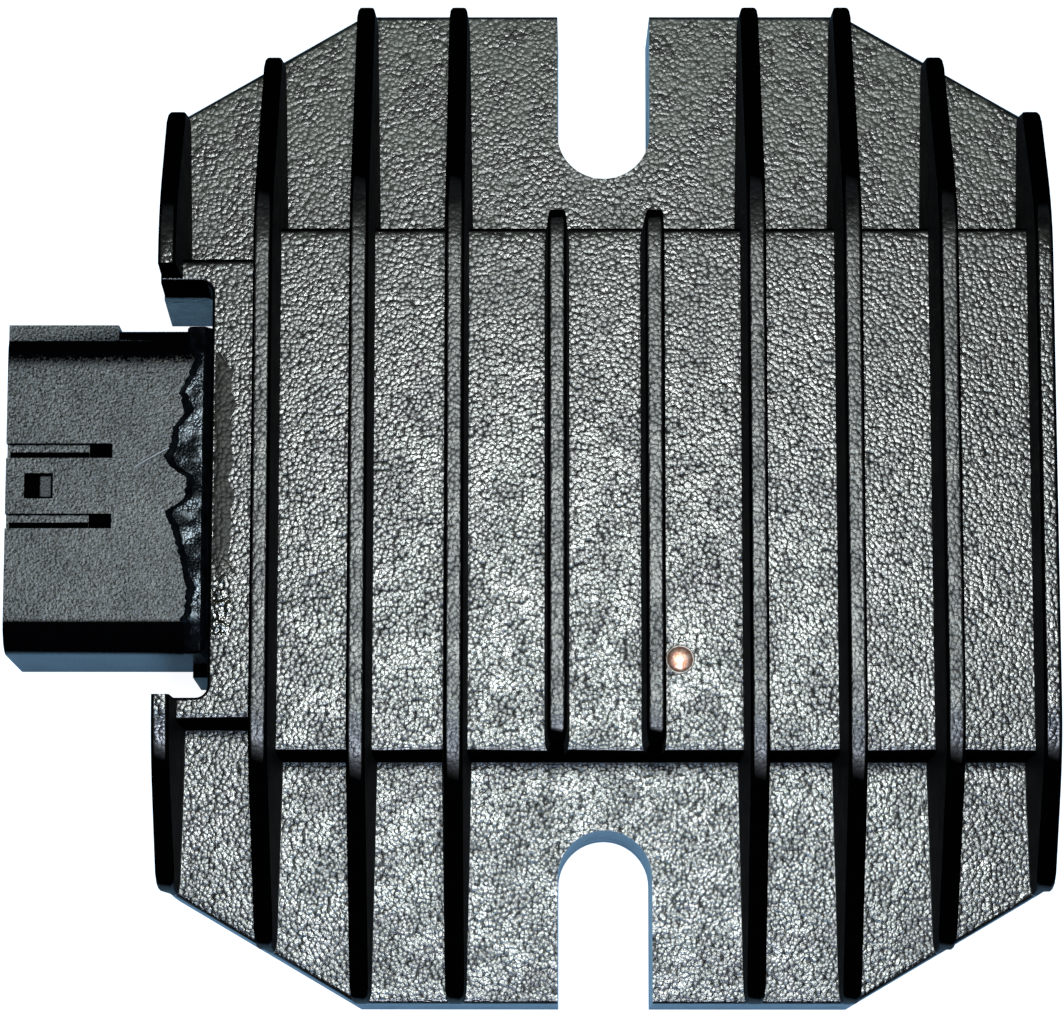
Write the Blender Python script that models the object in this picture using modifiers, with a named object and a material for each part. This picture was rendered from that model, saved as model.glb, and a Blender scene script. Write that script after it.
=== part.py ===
"""Voltage regulator rectifier: a finned die casting with its plug connector, circuit and potting.

Sizes are in metres. The mounting face lies at Z = 0 with the fins up, the long side of the fins runs along Y,
and the connector points along -X.
"""

import math

import bmesh
import bpy

# Base plate of the casting, with an ear at each end
PLATE_LENGTH = 0.0985
PLATE_WIDTH = 0.0877
EAR_HEIGHT = 0.0120
END_STRAIGHT = 0.0480
CHAMFER_ANGLE = math.radians(30.4)
CORNER_RADIUS = 0.0032
DRAFT = math.radians(1.2)
PLATE_ROUND = 0.0004
SIDE_STEP = 0.00015

# Open mounting slots
SLOT_WIDTH = 0.0092
SLOT_SPACING = 0.0742
SLOT_DRAFT = math.radians(0.6)

# Raised block over the circuit, and the notch for the connector
BLOCK_LENGTH = 0.0516
BLOCK_HEIGHT = 0.0195
BLOCK_ROUND = 0.0006
NARROW_LENGTH = 0.0454
NOTCH_LENGTH = 0.0408
NOTCH_DEPTH = 0.00565
NOTCH_RADIUS = 0.0012
NOTCH_ROUND = 0.0003

# Fins: two short ones in the middle and four long ones on each side
CREST_HEIGHT = 0.0290
OUTER_CREST_HEIGHT = 0.0260
FIN_TOP = 0.0018
FIN_DRAFT = math.radians(1.9)
CREST_ROUNDING = 0.45
FIN_END_RISE = 0.0042
FIN_END_ROUND = 0.0015
FIN_END_TAPER = 0.0004
FIN_OVERRUN = 0.00005
KNEE_LENGTH = 0.0084
SHORT_FIN_SPACING = 0.0093
FIRST_LONG_FIN = 0.0144
LONG_FINS = 4
OUTER_FIN_FROM_SIDE = 0.00194
OUTER_FIN_SHIFT = 0.0003

# Hollow underneath
ROOF = 0.0030
END_WALL = 0.0036
SIDE_WALL = 0.0044
HOLLOW_SHOULDER = 0.0042
HOLLOW_STEP = 0.0033
HOLLOW_RADIUS = 0.0030

# Connector moulding
SHELL_REACH = 0.0174
SHELL_WIDTH = 0.0319
SHELL_HEIGHT = 0.0188
SHELL_LIFT = 0.0006
SHELL_RADIUS = 0.0029
SHELL_WALL = 0.0018
SOCKET_DEPTH = 0.0130
FLANGE_THICKNESS = 0.0017
FLANGE_WIDTH = 0.0321
NECK_WIDTH = 0.0272
NECK_HEIGHT = 0.0142
NECK_LIFT = 0.0009
KEY_LENGTH = 0.0107
KEY_WIDTH = 0.0002
KEY_HEIGHT = 0.0062
KEY_DROP = 0.0005
LUG_WIDTH = 0.0014
LUG_HEIGHT = 0.0110
GROOVE_SPACING = 0.0069
GROOVE_OFFSET = 0.0002
GROOVE_WIDTH = 0.00145
GROOVE_LENGTH = 0.0100
GROOVE_DEPTH = 0.0010
GROOVE_HOLE = 0.0023
HOLE_DEPTH = 0.0027
LATCH_WIDTH = 0.0025
LATCH_START = 0.0018
LATCH_LENGTH = 0.0028
LATCH_RAMP = 0.0012

# Terminal blades, in two rows of three
BLADE_WIDTH = 0.0063
BLADE_THICKNESS = 0.0008
BLADE_TIP = 0.0005
BLADE_EDGE = 0.0003
BLADE_PITCH = 0.0083
BLADE_REACH = 0.0075
ROW_SPACING = 0.0060
LEG_SPACING = 0.0026
NECK_INSIDE = 0.0010

# Circuit on the underside of the roof
PAD_THICKNESS = 0.0005
BOARD_THICKNESS = 0.0016
BOARD_MARGIN = 0.0014
PACKAGE_WIDTH = 0.0102
PACKAGE_LENGTH = 0.0090
PACKAGE_HEIGHT = 0.0044
PACKAGE_TAB = 0.0013
PACKAGE_TAB_REACH = 0.0016
PACKAGE_SLOPE = 0.00055
PACKAGE_LEG = 0.0009
LEG_BEND = 0.0022
LEG_FOOT = 0.0014
LEG_THICKNESS = 0.00054
PACKAGE_COLUMNS = 3
PACKAGE_ROW_SHARE = 0.45
PACKAGE_FROM_SIDE = 0.0168
CHIP_SIZE = 0.0062
CHIP_HEIGHT = 0.0017
CHIP_BEVEL = 0.0002
CAPACITOR_DIAMETER = 0.0080
CAPACITOR_HEIGHT = 0.0066
CAPACITOR_RIM = 0.0004
RESISTOR_LENGTH = 0.0063
RESISTOR_WIDTH = 0.0032
RESISTOR_HEIGHT = 0.0011
RESISTOR_BEVEL = 0.0001
RESISTOR_GAP = 0.0012
CONTROL_FROM_SIDE = 0.0116
CHIP_SHARE = -0.05
CAPACITOR_SHARE = 0.50
RESISTOR_SHARE = -0.50
POTTING_RECESS = 0.0008

# Sealant over the connector's root, and the ground rivet
SEALANT_THICKNESS = 0.0009
SEALANT_WIDTH = 0.0258
SEALANT_SPREAD = 0.0033
SEALANT_WAVE = 0.0008
SEALANT_WAVES = ((9.5, 0.6, 1.0), (23.0, 0.0, 0.5))
SEALANT_END_SHARE = 0.45
SEALANT_LIP = 0.7
SEALANT_STEPS = 28
RIVET_FROM_FIN = 0.0001
RIVET_FROM_END = 0.0091
RIVET_HEAD = 0.0024
RIVET_RISE = 0.0006
RIVET_SHANK = 0.0014
RIVET_SEAT = 0.0002
RIVET_TAIL = 0.0022
RIVET_TAIL_TIP = 0.0017

CLEARANCE = 0.0003
ARC_STEPS = 6
CREST_STEPS = 4

# Places that follow from the sizes above
HALF_LENGTH = PLATE_LENGTH / 2
HALF_WIDTH = PLATE_WIDTH / 2
OVERSIZE = 0.0010
NOTCH_FACE = -HALF_WIDTH + NOTCH_DEPTH
NOTCH_FOOT = NOTCH_FACE - BLOCK_HEIGHT * math.tan(DRAFT)
FLANGE_BACK = NOTCH_FOOT - CLEARANCE
FLANGE_FRONT = FLANGE_BACK - FLANGE_THICKNESS
SHELL_END = FLANGE_FRONT - SHELL_REACH
SOCKET_FLOOR = SHELL_END + SOCKET_DEPTH
SHELL_TOP = SHELL_LIFT + SHELL_HEIGHT
SHELL_MIDDLE = SHELL_LIFT + SHELL_HEIGHT / 2
ROOF_UNDER = BLOCK_HEIGHT - ROOF
PAD_TOP = ROOF_UNDER - CLEARANCE
BOARD_TOP = PAD_TOP - PAD_THICKNESS - CLEARANCE
BOARD_UNDER = BOARD_TOP - BOARD_THICKNESS
PART_TOP = BOARD_UNDER - CLEARANCE
HOLLOW_LEFT = NOTCH_FACE + SIDE_WALL
HOLLOW_RIGHT = HALF_WIDTH - SIDE_WALL
HOLLOW_HALF = BLOCK_LENGTH / 2 - END_WALL
NECK_END = HOLLOW_LEFT + NECK_INSIDE
FIN_PITCH = (HALF_WIDTH - OUTER_FIN_FROM_SIDE - FIRST_LONG_FIN) / (LONG_FINS - 1)
STEP_X = -(FIRST_LONG_FIN + 2 * FIN_PITCH)
PACKAGE_START = HOLLOW_LEFT + PACKAGE_FROM_SIDE
PACKAGE_ROW = HOLLOW_HALF * PACKAGE_ROW_SHARE
CONTROL_X = HOLLOW_RIGHT - CONTROL_FROM_SIDE
PACKAGE_PITCH = (CONTROL_X - PACKAGE_START) / PACKAGE_COLUMNS
FIN_FOOT_HALF = FIN_TOP / 2 + (CREST_HEIGHT - BLOCK_HEIGHT) * math.tan(FIN_DRAFT)
RIVET_X = SHORT_FIN_SPACING / 2 + FIN_FOOT_HALF + RIVET_FROM_FIN + RIVET_HEAD / 2
RIVET_Y = -(BLOCK_LENGTH / 2 - RIVET_FROM_END)


def clear_scene():
    for item in list(bpy.data.objects):
        bpy.data.objects.remove(item, do_unlink=True)


def new_collection(name):
    collection = bpy.data.collections.new(name)
    bpy.context.scene.collection.children.link(collection)
    return collection


def material(name, colour, metallic, roughness):
    made = bpy.data.materials.new(name)
    made.use_nodes = True
    shader = made.node_tree.nodes["Principled BSDF"]
    shader.inputs["Base Color"].default_value = (*colour, 1.0)
    shader.inputs["Metallic"].default_value = metallic
    shader.inputs["Roughness"].default_value = roughness
    return made


def add_object(name, mesh, collection, frame, finish=None):
    """A named object for a mesh, parented to the frame. Without a finish it is a helper that isn't rendered."""
    made = bpy.data.objects.new(name, mesh)
    collection.objects.link(made)
    made.parent = frame
    if finish is None:
        made.hide_render = True
        made.display_type = "WIRE"
    else:
        mesh.materials.append(finish)
        mesh.shade_smooth()
        mesh.set_sharp_from_angle(angle=math.radians(35))
    return made


def mesh_from(name, bm):
    bmesh.ops.recalc_face_normals(bm, faces=bm.faces)
    mesh = bpy.data.meshes.new(name)
    bm.to_mesh(mesh)
    bm.free()
    return mesh


def skin(bm, rings):
    """Skins a row of rings, each with the same number of points, and returns the first and the last of them."""
    layers = [[bm.verts.new(point) for point in ring] for ring in rings]
    count = len(layers[0])
    for lower, upper in zip(layers, layers[1:]):
        for i in range(count):
            j = (i + 1) % count
            bm.faces.new((lower[i], lower[j], upper[j], upper[i]))
    return layers[0], layers[-1]


def loft(bm, rings):
    """Skins a row of rings and closes both ends with flat faces."""
    first, last = skin(bm, rings)
    bm.faces.new(list(reversed(first)))
    bm.faces.new(last)


def rounded(corners, steps=ARC_STEPS):
    """Outline through (x, y, radius) corners, anticlockwise, with an arc wherever the radius isn't zero."""
    outline = []
    for i, (x, y, radius) in enumerate(corners):
        if radius == 0:
            outline.append((x, y))
            continue
        before, after = corners[i - 1], corners[(i + 1) % len(corners)]
        back = math.atan2(before[1] - y, before[0] - x)
        ahead = math.atan2(after[1] - y, after[0] - x)
        turn = (ahead - back + math.pi) % (2 * math.pi) - math.pi
        middle = back + turn / 2
        reach = radius / math.sin(abs(turn) / 2)
        centre = (x + reach * math.cos(middle), y + reach * math.sin(middle))
        sweep = math.pi - abs(turn)
        side = -1 if turn > 0 else 1
        for k in range(steps + 1):
            angle = middle + math.pi + side * sweep * (k / steps - 0.5)
            outline.append((centre[0] + radius * math.cos(angle), centre[1] + radius * math.sin(angle)))
    return outline


def inset(outline, distance):
    """The outline moved inwards by a distance, with mitred corners."""
    moved = []
    for i, (x, y) in enumerate(outline):
        ax, ay = outline[i - 1]
        bx, by = outline[(i + 1) % len(outline)]
        first = math.hypot(x - ax, y - ay)
        second = math.hypot(bx - x, by - y)
        n1 = (-(y - ay) / first, (x - ax) / first)
        n2 = (-(by - y) / second, (bx - x) / second)
        scale = distance / (1 + n1[0] * n2[0] + n1[1] * n2[1])
        moved.append((x + scale * (n1[0] + n2[0]), y + scale * (n1[1] + n2[1])))
    return moved


def quarter(steps=ARC_STEPS // 2):
    """(sine, 1 - cosine) at even steps over a quarter turn, for rounded edges."""
    angles = [math.pi / 2 * k / steps for k in range(steps + 1)]
    return [(math.sin(a), 1 - math.cos(a)) for a in angles]


def drafted(bm, outline, bottom, top, level, draft, edge=0.0):
    """A prism along Z whose outline holds at a level and shrinks upwards by the draft, with a rounded top edge."""
    rings = []
    heights = [(bottom, 0.0), (top - edge, 0.0)]
    if edge:
        heights += [(top - edge + edge * rise, edge * across) for rise, across in quarter()[1:]]
    for height, extra in heights:
        ring = inset(outline, (height - level) * math.tan(draft) + extra)
        rings.append([(x, y, height) for x, y in ring])
    loft(bm, rings)


def box(bm, x0, x1, y0, y1, z0, z1):
    made = bmesh.ops.create_cube(bm, size=1.0)["verts"]
    bmesh.ops.scale(bm, verts=made, vec=(x1 - x0, y1 - y0, z1 - z0))
    bmesh.ops.translate(bm, verts=made, vec=((x0 + x1) / 2, (y0 + y1) / 2, (z0 + z1) / 2))


def rod(bm, x, y, z0, z1, diameter, segments=32):
    made = bmesh.ops.create_cone(
        bm, cap_ends=True, segments=segments, radius1=diameter / 2, radius2=diameter / 2, depth=z1 - z0
    )["verts"]
    bmesh.ops.translate(bm, verts=made, vec=(x, y, (z0 + z1) / 2))


def boolean(target, other, operation):
    made = target.modifiers.new(f"{operation.lower()}_{other.name}", "BOOLEAN")
    made.operation = operation
    made.solver = "EXACT"
    made.object = other


def chamfer_y(x):
    """Half-length of the plate at a distance x from its middle line."""
    fall = max(0.0, abs(x) - END_STRAIGHT / 2) * math.tan(CHAMFER_ANGLE)
    return HALF_LENGTH - fall


def side_at(z):
    """Distance of the casting's drafted side from the middle line at a height."""
    return HALF_WIDTH - z * math.tan(DRAFT)


def octagon(side):
    """The plate's outline where its sides are at this distance, with its side corners rounded."""
    right = [(side, chamfer_y(side), CORNER_RADIUS), (END_STRAIGHT / 2, HALF_LENGTH, 0)]
    top = right + [(-x, y, r) for x, y, r in reversed(right)]
    return rounded(top + [(-x, -y, r) for x, y, r in top])


def outline_y(x):
    """Half-length of the ears' top face at x with its rounded side corner, which the fins' ends follow."""
    across = abs(x)
    side = side_at(EAR_HEIGHT)
    corner = math.pi / 4 + CHAMFER_ANGLE / 2
    reach = CORNER_RADIUS / math.tan(corner)
    if across <= side - reach * math.cos(CHAMFER_ANGLE):
        return chamfer_y(across)
    beyond = min(across - (side - CORNER_RADIUS), CORNER_RADIUS)
    return chamfer_y(side) - reach + math.sqrt(CORNER_RADIUS ** 2 - beyond ** 2)


def plate_form():
    """The plate with its drafted sides, its upright ends and a rounded top edge."""
    bm = bmesh.new()
    shoulder = EAR_HEIGHT - PLATE_ROUND
    rings = [(0.0, octagon(HALF_WIDTH))]
    for rise, across in quarter():
        rings.append((shoulder + PLATE_ROUND * rise, inset(octagon(side_at(shoulder)), PLATE_ROUND * across)))
    loft(bm, [[(x, y, height) for x, y in ring] for height, ring in rings])
    return mesh_from("plate", bm)


def block_form():
    """The raised block. It is narrower between the first two fins, and it starts inside the plate."""
    side = side_at(BLOCK_HEIGHT) - SIDE_STEP
    half = BLOCK_LENGTH / 2
    narrow = NARROW_LENGTH / 2
    corners = [(side, -half), (side, half), (STEP_X, half), (STEP_X, narrow), (-side, narrow)]
    corners += [(-side, -narrow), (STEP_X, -narrow), (STEP_X, -half)]
    bm = bmesh.new()
    drafted(bm, corners, EAR_HEIGHT / 2, BLOCK_HEIGHT, BLOCK_HEIGHT, DRAFT, BLOCK_ROUND)
    return mesh_from("block", bm)


def crest(y, height, end):
    """Height of a fin's crest: level over the block, then an even fall to the plate's edge, with a soft knee."""
    knee = BLOCK_LENGTH / 2
    half = KNEE_LENGTH / 2
    slope = (height - EAR_HEIGHT - FIN_END_RISE) / (end - knee)
    beyond = abs(y) - knee
    if beyond <= -half:
        return height
    if beyond >= half:
        return height - slope * beyond
    share = (beyond + half) / KNEE_LENGTH
    return height - slope * half * share * share


def fin_flank(foot, foot_edge, top, edge):
    """One side of a fin's section as (distance from its crest line, height), from the foot up and over the crest."""
    radius = CREST_ROUNDING * edge
    arc = [(edge - radius * across, top - radius * (1 - rise)) for rise, across in quarter(CREST_STEPS)]
    return [(foot_edge, foot)] + arc


def close_fin(bm, ring):
    """Closes a fin's end with a column of faces on each side of its middle line, from the foot to the crest."""
    count = len(ring) // 2 - 1
    right = ring[:count]
    left = list(reversed(ring[count + 1:-1]))
    foot, top = ring[-1], ring[count]
    middle = [foot]
    for a, b in zip(right[1:-1], left[1:-1]):
        middle.append(bm.verts.new((foot.co.x, foot.co.y, (a.co.z + b.co.z) / 2)))
    middle.append(top)
    for column in (right, left):
        for i in range(count - 1):
            bm.faces.new((column[i], column[i + 1], middle[i + 1], middle[i]))


def fin(bm, x, end, height, slope_end, outermost=False):
    """One fin, from -end to end along Y: a row of sections with a rounded top, narrowed at both ends.

    A long fin's foot follows the plate's outline at its ends, while its crest ends square.
    """
    foot = EAR_HEIGHT - OVERSIZE
    knee = BLOCK_LENGTH / 2
    shares = (0, 0.12, 0.4, 1.0)
    places = {side * (end - FIN_END_ROUND * share) for side in (-1, 1) for share in shares}
    bends = [knee + KNEE_LENGTH * (k / 6 - 0.5) for k in range(7)]
    places |= {side * bend for side in (-1, 1) for bend in bends if bend < end - FIN_END_ROUND}
    side = -1 if x < 0 else 1
    follows_plate = end > knee + KNEE_LENGTH
    rings = []
    for y in sorted(places):
        gap = min(1.0, (end - abs(y)) / FIN_END_ROUND)
        at_end = follows_plate and abs(y) > knee + KNEE_LENGTH
        drop = 1 - math.sqrt(max(0.0, 1 - (1 - gap) ** 2))
        top = crest(y, height, slope_end) - FIN_END_ROUND * drop
        narrowing = FIN_END_TAPER * drop
        edge = FIN_TOP / 2 - narrowing
        inner = fin_flank(foot, edge + (top - foot) * math.tan(FIN_DRAFT), top, edge)
        outer = inner
        if outermost:
            outside = abs(x) + 2 * SIDE_STEP + narrowing
            outer = fin_flank(foot, side_at(foot) - outside, top, side_at(top) - outside)
        right, left = (outer, inner) if side > 0 else (inner, outer)
        section = right + [(0.0, top)] + [(-across, up) for across, up in reversed(left)] + [(0.0, foot)]
        ring = []
        for across, up in section:
            fade = max(0.0, (top - up) / (top - foot))
            shift = (outline_y(x + across) - outline_y(x)) * fade if at_end else 0.0
            ring.append((x + across, y + math.copysign(1.0, y) * shift, up))
        rings.append(ring)
    for ring in skin(bm, rings):
        close_fin(bm, ring)


def fins_form():
    bm = bmesh.new()
    for side in (-1, 1):
        fin(bm, side * SHORT_FIN_SPACING / 2, BLOCK_LENGTH / 2, CREST_HEIGHT, HALF_LENGTH)
        for k in range(LONG_FINS):
            last = k == LONG_FINS - 1
            x = side * (FIRST_LONG_FIN + k * FIN_PITCH + (OUTER_FIN_SHIFT if last else 0.0))
            end = outline_y(x) + FIN_OVERRUN
            height = OUTER_CREST_HEIGHT if last else CREST_HEIGHT
            fin(bm, x, end, height, end, last)
    return mesh_from("fins", bm)


def slots_form():
    bm = bmesh.new()
    half = SLOT_WIDTH / 2
    centre = SLOT_SPACING / 2
    for side in (-1, 1):
        angles = [math.pi * k / 24 for k in range(25)]
        arc = [(half * math.cos(a), centre - half * math.sin(a)) for a in angles]
        outline = arc + [(-half, HALF_LENGTH + OVERSIZE), (half, HALF_LENGTH + OVERSIZE)]
        outline = [(side * x, side * y) for x, y in outline]
        drafted(bm, list(reversed(outline)), -OVERSIZE, CREST_HEIGHT, EAR_HEIGHT, -SLOT_DRAFT)
    return mesh_from("slots", bm)


def notch_form():
    bm = bmesh.new()
    half = NOTCH_LENGTH / 2
    outside = -HALF_WIDTH - OVERSIZE
    corners = [(NOTCH_FACE, -half, NOTCH_RADIUS), (NOTCH_FACE, half, NOTCH_RADIUS)]
    corners += [(outside, half, 0), (outside, -half, 0)]
    outline = rounded(corners)
    lip = BLOCK_HEIGHT - NOTCH_ROUND
    heights = [(-OVERSIZE, 0.0)]
    heights += [(lip + NOTCH_ROUND * rise, NOTCH_ROUND * across) for rise, across in quarter()]
    heights.append((CREST_HEIGHT + OVERSIZE, NOTCH_ROUND))
    rings = []
    for height, extra in heights:
        ring = inset(outline, (BLOCK_HEIGHT - height) * math.tan(DRAFT) - extra)
        rings.append([(x, y, height) for x, y in ring])
    loft(bm, rings)
    return mesh_from("notch", bm)


def hollow_outline(gap=0.0):
    """Plan of the hollow: wide under the block, shouldered in beside the connector."""
    shoulder = HOLLOW_HALF - HOLLOW_SHOULDER
    step = HOLLOW_LEFT + HOLLOW_STEP
    radius = HOLLOW_RADIUS
    corners = [(HOLLOW_RIGHT, -HOLLOW_HALF, radius), (HOLLOW_RIGHT, HOLLOW_HALF, radius)]
    corners += [(step, HOLLOW_HALF, radius), (step, shoulder, 0), (HOLLOW_LEFT, shoulder, radius / 2)]
    corners += [(HOLLOW_LEFT, -shoulder, radius / 2), (step, -shoulder, 0), (step, -HOLLOW_HALF, radius)]
    return inset(rounded(corners), gap)


def hollow_form():
    bm = bmesh.new()
    drafted(bm, hollow_outline(), -OVERSIZE, ROOF_UNDER, 0.0, DRAFT)
    return mesh_from("hollow", bm)


def passage_form():
    """The opening in the side wall that the connector's neck passes through, open towards the mounting face."""
    bm = bmesh.new()
    half = NECK_WIDTH / 2 + CLEARANCE
    top = SHELL_LIFT + NECK_HEIGHT + CLEARANCE
    box(bm, NOTCH_FOOT - OVERSIZE, HOLLOW_LEFT + OVERSIZE, -half, half, -OVERSIZE, top)
    return mesh_from("passage", bm)


def rivet_hole_form(name, bottom, top):
    bm = bmesh.new()
    rod(bm, RIVET_X, RIVET_Y, bottom, top, RIVET_SHANK + 2 * CLEARANCE)
    return mesh_from(name, bm)


def make_housing(parts, helpers, frame):
    finish = material("black_hammered_paint", (0.020, 0.021, 0.022), 0.1, 0.32)
    housing = add_object("heatsink_housing", plate_form(), parts, frame, finish)
    forms = [
        ("block_form", block_form(), "UNION"),
        ("fins_form", fins_form(), "UNION"),
        ("slots_form", slots_form(), "DIFFERENCE"),
        ("notch_form", notch_form(), "DIFFERENCE"),
        ("hollow_form", hollow_form(), "DIFFERENCE"),
        ("passage_form", passage_form(), "DIFFERENCE"),
        ("roof_hole", rivet_hole_form("roof_hole", ROOF_UNDER - OVERSIZE, CREST_HEIGHT), "DIFFERENCE"),
    ]
    for name, mesh, operation in forms:
        boolean(housing, add_object(name, mesh, helpers, frame), operation)
    return housing


def tube_form(bm, x0, x1, y0, y1, z0, z1, radius):
    """A bar along X with rounded long edges."""
    corners = [(y0, z0, radius), (y1, z0, radius), (y1, z1, radius), (y0, z1, radius)]
    outline = rounded(corners)
    loft(bm, [[(x, y, z) for y, z in outline] for x in (x0, x1)])


def blade_rows():
    """(y, z) of each blade, in the order of the terminals' names."""
    places = []
    for z in (SHELL_MIDDLE - ROW_SPACING / 2, SHELL_MIDDLE + ROW_SPACING / 2):
        places += [(k * BLADE_PITCH, z) for k in (-1, 0, 1)]
    return places


def shell_forms():
    """The solids that make up the connector, and those that are cut from it."""
    high = SHELL_WIDTH / 2
    wall = SHELL_WALL
    overlap = FLANGE_THICKNESS / 2

    flange = bmesh.new()
    half = FLANGE_WIDTH / 2
    tube_form(flange, FLANGE_FRONT, FLANGE_BACK, -half, half, SHELL_LIFT, SHELL_TOP, SHELL_RADIUS / 2)

    neck = bmesh.new()
    half = NECK_WIDTH / 2
    box(neck, FLANGE_BACK - overlap, NECK_END, -half, half, NECK_LIFT, SHELL_LIFT + NECK_HEIGHT)

    key = bmesh.new()
    key_top = SHELL_TOP - KEY_DROP
    box(key, SHELL_END, SHELL_END + KEY_LENGTH, high - wall, high + KEY_WIDTH, key_top - KEY_HEIGHT, key_top)

    lug = bmesh.new()
    edge = -FLANGE_WIDTH / 2
    box(lug, FLANGE_FRONT + CLEARANCE, FLANGE_BACK, edge - LUG_WIDTH, edge + LUG_WIDTH, NECK_LIFT, LUG_HEIGHT)

    socket = bmesh.new()
    tube_form(
        socket, SHELL_END - OVERSIZE, SOCKET_FLOOR, wall - high, high - wall, SHELL_LIFT + wall, SHELL_TOP - wall,
        SHELL_RADIUS - wall,
    )

    slits = bmesh.new()
    wide = BLADE_WIDTH / 2 + CLEARANCE
    thick = BLADE_THICKNESS / 2 + CLEARANCE
    for y, z in blade_rows():
        box(slits, SOCKET_FLOOR - OVERSIZE, NECK_END + OVERSIZE, y - wide, y + wide, z - thick, z + thick)

    grooves = bmesh.new()
    for side in (-1, 1):
        y = GROOVE_OFFSET + side * GROOVE_SPACING / 2
        edges = (y - GROOVE_WIDTH / 2, y + GROOVE_WIDTH / 2)
        end = SHELL_END + GROOVE_LENGTH
        box(grooves, SHELL_END - OVERSIZE, end, *edges, SHELL_TOP - GROOVE_DEPTH, SHELL_TOP + OVERSIZE)

    holes = bmesh.new()
    for side in (-1, 1):
        y = GROOVE_OFFSET + side * GROOVE_SPACING / 2
        edges = (y - GROOVE_WIDTH / 2, y + GROOVE_WIDTH / 2)
        end = SHELL_END + GROOVE_LENGTH + CLEARANCE
        box(holes, end - GROOVE_HOLE, end, *edges, SHELL_TOP - HOLE_DEPTH, SHELL_TOP + OVERSIZE)

    latch = bmesh.new()
    x0 = SHELL_END + LATCH_START
    x1 = x0 + LATCH_LENGTH
    low_z = SHELL_TOP - HOLE_DEPTH
    high_z = SHELL_TOP + OVERSIZE
    profile = [(x0, low_z), (x1 - LATCH_RAMP, low_z), (x1, SHELL_TOP), (x1, high_z), (x0, high_z)]
    edges = (GROOVE_OFFSET - LATCH_WIDTH / 2, GROOVE_OFFSET + LATCH_WIDTH / 2)
    loft(latch, [[(x, y, z) for x, z in profile] for y in edges])

    added = [("flange_form", flange), ("neck_form", neck), ("key_form", key), ("lug_form", lug)]
    cut = [("socket_form", socket), ("slits_form", slits), ("grooves_form", grooves)]
    cut += [("groove_holes_form", holes), ("latch_form", latch)]
    return added, cut


def make_connector(parts, helpers, frame):
    finish = material("black_glass_filled_nylon", (0.028, 0.028, 0.030), 0.0, 0.6)
    body = bmesh.new()
    half = SHELL_WIDTH / 2
    back = FLANGE_FRONT + FLANGE_THICKNESS / 2
    tube_form(body, SHELL_END, back, -half, half, SHELL_LIFT, SHELL_TOP, SHELL_RADIUS)
    shell = add_object("connector_shell", mesh_from("connector_shell", body), parts, frame, finish)
    added, cut = shell_forms()
    for name, bm in added:
        boolean(shell, add_object(name, mesh_from(name, bm), helpers, frame), "UNION")
    for name, bm in cut:
        boolean(shell, add_object(name, mesh_from(name, bm), helpers, frame), "DIFFERENCE")
    return shell


def make_terminals(parts, frame):
    """Flat blades with tapered tips, each bent up to the board behind the neck."""
    finish = material("tinned_brass", (0.62, 0.58, 0.48), 1.0, 0.3)
    names = ["terminal_phase_1", "terminal_phase_2", "terminal_phase_3"]
    names += ["terminal_negative", "terminal_sense", "terminal_positive"]
    half = BLADE_THICKNESS / 2
    edge = BLADE_EDGE / 2
    for name, (y, z) in zip(names, blade_rows()):
        tip = SOCKET_FLOOR - BLADE_REACH
        lower = z < SHELL_MIDDLE
        leg = NECK_END + LEG_SPACING * (2 if lower else 1)
        profile = [(tip, z - edge), (tip + BLADE_TIP, z - half), (leg + half, z - half)]
        profile += [(leg + half, PART_TOP), (leg - half, PART_TOP), (leg - half, z + half)]
        profile += [(tip + BLADE_TIP, z + half), (tip, z + edge)]
        bm = bmesh.new()
        sides = (y - BLADE_WIDTH / 2, y + BLADE_WIDTH / 2)
        loft(bm, [[(x, side, up) for x, up in profile] for side in sides])
        add_object(name, mesh_from(name, bm), parts, frame, finish)


def board_outline(margin):
    return inset(hollow_outline(), margin)


def make_board(parts, helpers, frame):
    """The thermal pad and the board, each with a hole for the rivet."""
    pad_finish = material("grey_silicone_pad", (0.35, 0.37, 0.39), 0.0, 0.7)
    board_finish = material("green_board", (0.02, 0.12, 0.05), 0.0, 0.4)
    leg_room = NECK_END + LEG_SPACING / 4
    for name, bottom, top, finish in (
        ("thermal_pad", PAD_TOP - PAD_THICKNESS, PAD_TOP, pad_finish),
        ("circuit_board", BOARD_UNDER, BOARD_TOP, board_finish),
    ):
        bm = bmesh.new()
        drafted(bm, board_outline(BOARD_MARGIN), bottom, top, top, 0.0)
        sheet = add_object(name, mesh_from(name, bm), parts, frame, finish)
        hole = rivet_hole_form(name + "_hole", bottom - OVERSIZE, top + OVERSIZE)
        boolean(sheet, add_object(name + "_hole", hole, helpers, frame), "DIFFERENCE")
        edge = bmesh.new()
        box(edge, HOLLOW_LEFT - OVERSIZE, leg_room, -HOLLOW_HALF, HOLLOW_HALF, bottom - OVERSIZE, top + OVERSIZE)
        boolean(sheet, add_object(name + "_edge", mesh_from("edge", edge), helpers, frame), "DIFFERENCE")


def package_form(bm, x, y):
    """A surface-mounted power package: metal tab against the board, moulded body, and two bent legs."""
    half = PACKAGE_WIDTH / 2
    top = PART_TOP
    front = y - PACKAGE_LENGTH / 2
    back = y + PACKAGE_LENGTH / 2
    slope = PACKAGE_SLOPE
    profile = [(front, top - PACKAGE_LEG), (front + slope, top - PACKAGE_HEIGHT)]
    profile += [(back - slope, top - PACKAGE_HEIGHT), (back, top - PACKAGE_TAB)]
    profile += [(back + PACKAGE_TAB_REACH, top - PACKAGE_TAB), (back + PACKAGE_TAB_REACH, top), (front, top)]
    loft(bm, [[(across, along, up) for along, up in profile] for across in (x - half, x + half)])


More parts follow.
